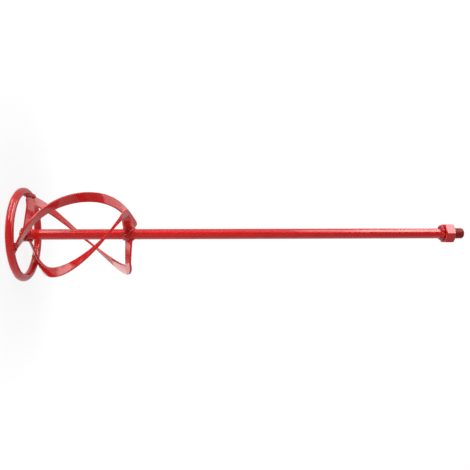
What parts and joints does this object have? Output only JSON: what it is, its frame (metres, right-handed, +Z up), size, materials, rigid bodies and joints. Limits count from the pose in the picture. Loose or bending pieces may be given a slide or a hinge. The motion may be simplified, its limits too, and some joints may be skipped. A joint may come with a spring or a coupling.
{
  "type": "drill paint mixer",
  "caption": "Helical mixing paddle for a drill: three flat-bar blades wound left-hand between a round-bar ring and a long shaft that ends in a hexagon and a male drive thread.",
  "frame": {"origin": "centre of the ring, in the plane the ring stands on, on the shaft's axis", "axes": "+Z up the shaft from the ring to the drive thread; the corners of the hexagon point to +Y and -Y"},
  "size_m": [0.1212, 0.1212, 0.586],
  "materials": {
    "bar_paint": "gloss",
    "head_paint": "gloss",
    "weld_paint": "gloss"
  },
  "bodies": {
    "root": {"shaft": "bar_paint", "hex_nut": "bar_paint", "nut_weld": "weld_paint", "ring": "head_paint", "blade_1": "head_paint", "blade_2": "head_paint", "blade_3": "head_paint", "ring_weld_1": "weld_paint", "ring_weld_2": "weld_paint", "ring_weld_3": "weld_paint", "spoke_weld_1": "weld_paint", "spoke_weld_2": "weld_paint", "spoke_weld_3": "weld_paint", "arm_weld_1": "weld_paint", "arm_weld_2": "weld_paint", "arm_weld_3": "weld_paint"}
  },
  "joints": []
}
